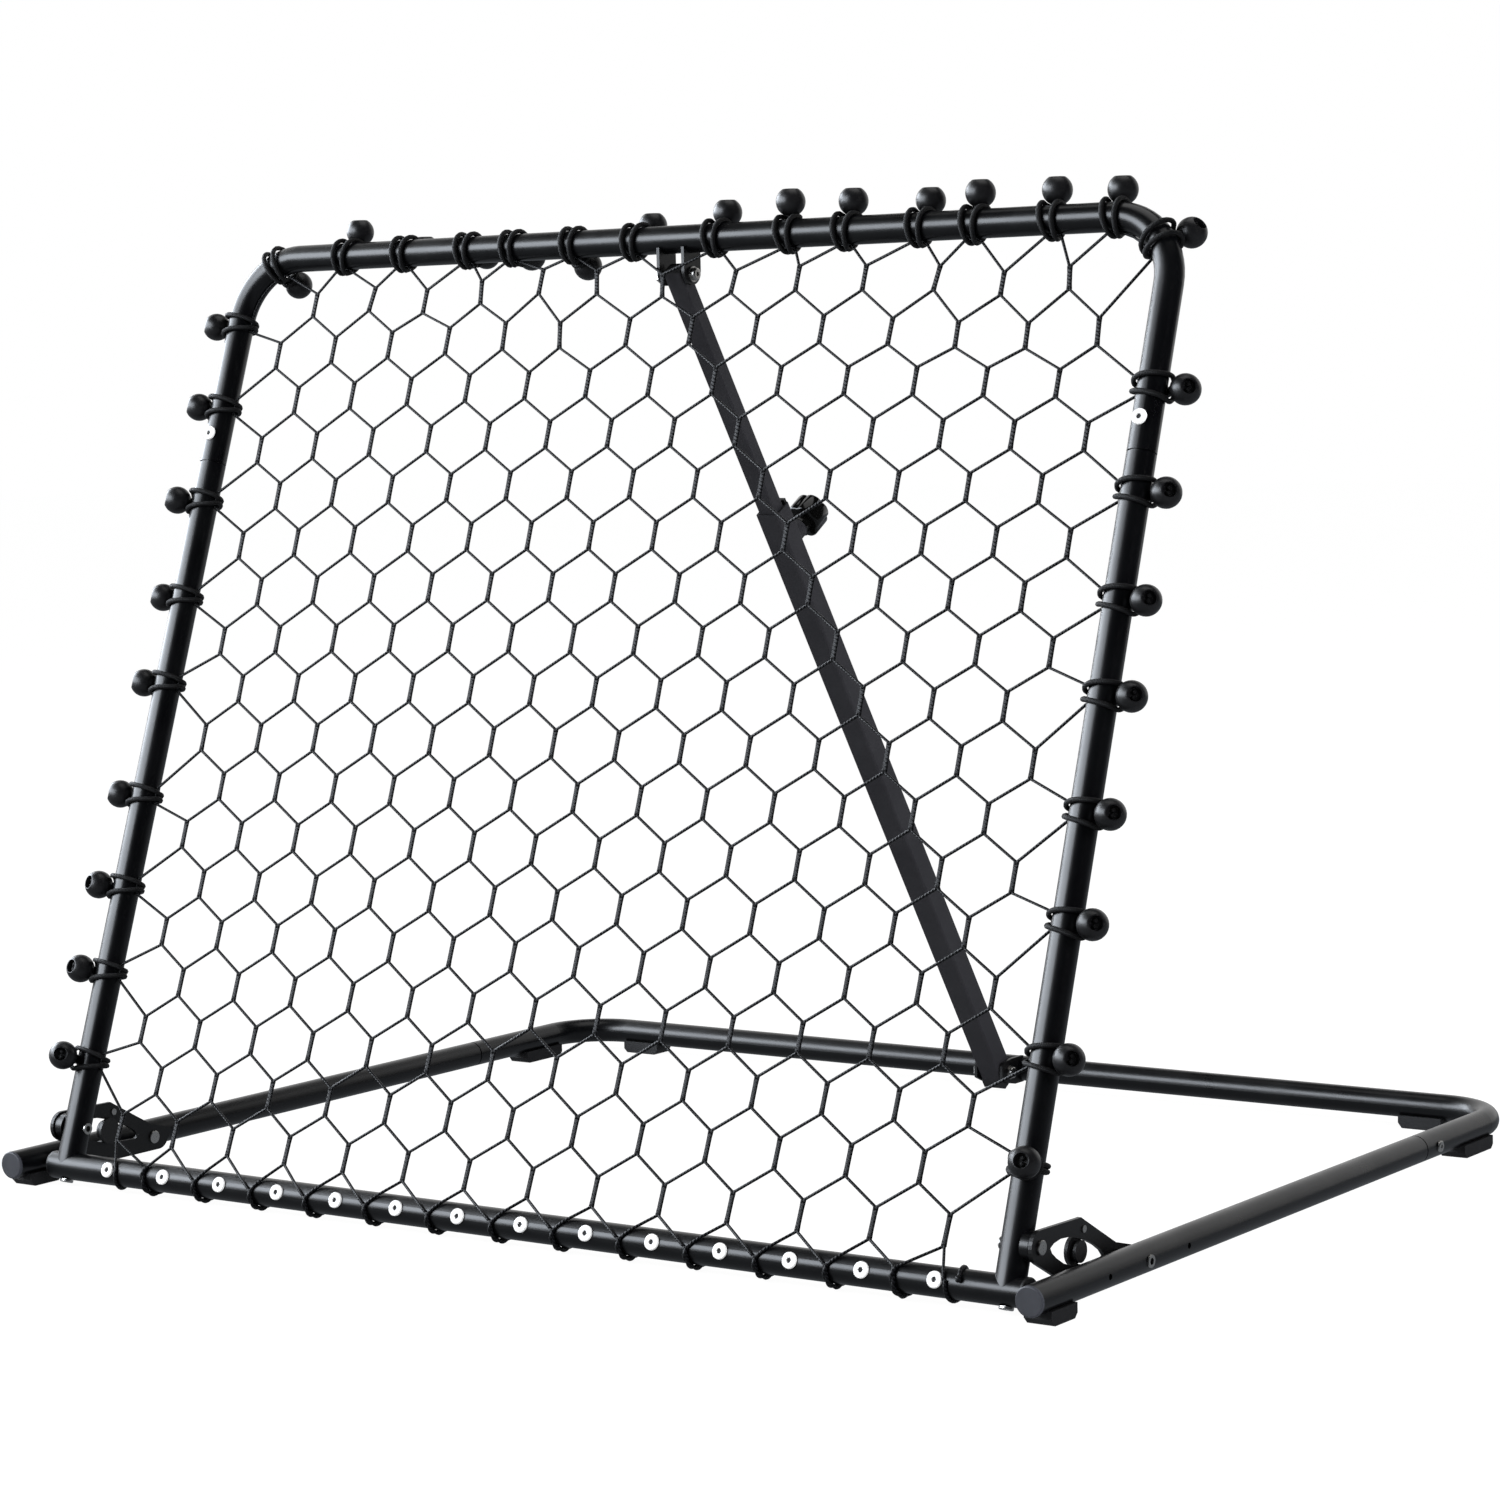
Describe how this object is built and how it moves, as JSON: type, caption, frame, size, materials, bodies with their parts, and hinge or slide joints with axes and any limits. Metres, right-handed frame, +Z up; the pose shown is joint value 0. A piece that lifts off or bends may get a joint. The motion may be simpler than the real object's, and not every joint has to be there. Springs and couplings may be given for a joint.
{
  "type": "pitch back rebounder",
  "caption": "Ball-return net laced with elastic ball ties into a tilting tube frame, hinged on a U-shaped floor base and held by a telescopic arm with a clamp knob.",
  "frame": {"origin": "on the floor, at the middle of the base's footprint", "axes": "+X across the net, to the right as the player sees it; +Y from the player's side to the rear; +Z up"},
  "size_m": [1.117, 0.875, 0.8854],
  "materials": {
    "frame_tube": "satin black powder coat on round steel tube",
    "bracket": "satin black powder coat on steel plate",
    "arm_tube": "matt dark grey powder coat on box-section steel tube",
    "grey_cap": "matt blue-grey moulded plastic",
    "black_plastic": "matt black moulded plastic",
    "foot_rubber": "matt black rubber",
    "zinc_steel": "bright zinc plate",
    "white_screw": "glossy white lacquer",
    "washer_nylon": "natural grey nylon",
    "net_braid": "twisted and knotted black polyethylene braid",
    "elastic_cord": "black elastic cord with a smooth woven jacket",
    "ball_plastic": "satin black moulded plastic",
    "knob_plastic": "glossy black moulded plastic"
  },
  "bodies": {
    "base": {"side_tube_left": "frame_tube", "side_tube_right": "frame_tube", "rear_tube": "frame_tube", "base_tube_caps": "grey_cap", "base_joint_screws": "zinc_steel", "front_feet": "foot_rubber", "rear_bar_feet": "foot_rubber", "rear_side_feet": "foot_rubber", "hinge_plate_left": "bracket", "hinge_plate_right": "bracket", "plate_rivets": "zinc_steel", "plate_pins": "zinc_steel", "plate_spacers": "bracket", "hinge_buttons": "black_plastic", "foot_bracket_ears": "bracket", "foot_bolt": "zinc_steel"},
    "net_frame": {"bottom_bar": "frame_tube", "bar_end_caps": "black_plastic", "upright_left": "frame_tube", "upright_right": "frame_tube", "top_tube": "frame_tube", "upright_joint_screws": "white_screw", "bar_screws": "zinc_steel", "net_screws": "white_screw", "hinge_rivets": "zinc_steel", "hinge_washers": "washer_nylon", "net": "net_braid", "net_bar_loops": "net_braid", "tie_cords": "elastic_cord", "tie_balls": "ball_plastic", "top_bracket_ears": "bracket", "top_bolt": "zinc_steel"},
    "arm_upper": {"arm_inner_tube": "arm_tube", "arm_top_plug": "black_plastic"},
    "arm_lower": {"arm_outer_tube": "arm_tube", "arm_mouth_bush": "black_plastic", "arm_end_cap": "black_plastic", "knob_nut": "arm_tube"},
    "knob": {"clamp_knob": "knob_plastic", "knob_stud": "zinc_steel"}
  },
  "joints": [
    {"name": "net_tilt", "type": "hinge", "parent": "base", "child": "net_frame", "pos_m": [0, -0.3895, 0.0516], "axis": [-1, 0, 0], "range_deg": [-17, 18]},
    {"name": "arm_top_pivot", "type": "hinge", "parent": "net_frame", "child": "arm_upper", "pos_m": [0, -0.108, 0.8154], "axis": [-1, 0, 0], "range_deg": [-9, 9]},
    {"name": "arm_foot_pivot", "type": "hinge", "parent": "base", "child": "arm_lower", "pos_m": [0, 0.3982, 0.021], "axis": [-1, 0, 0], "range_deg": [-9.6, 9.6]},
    {"name": "knob_turn", "type": "hinge", "parent": "arm_lower", "child": "knob", "pos_m": [0, 0.08985, 0.59795], "axis": [0, -0.8433, -0.5374], "range_deg": [0, 360]}
  ],
  "couplings": [
    {"joint": "arm_foot_pivot", "follows": "net_tilt", "ratio": 0.5237},
    {"joint": "arm_top_pivot", "follows": "net_tilt", "ratio": -0.4763}
  ]
}
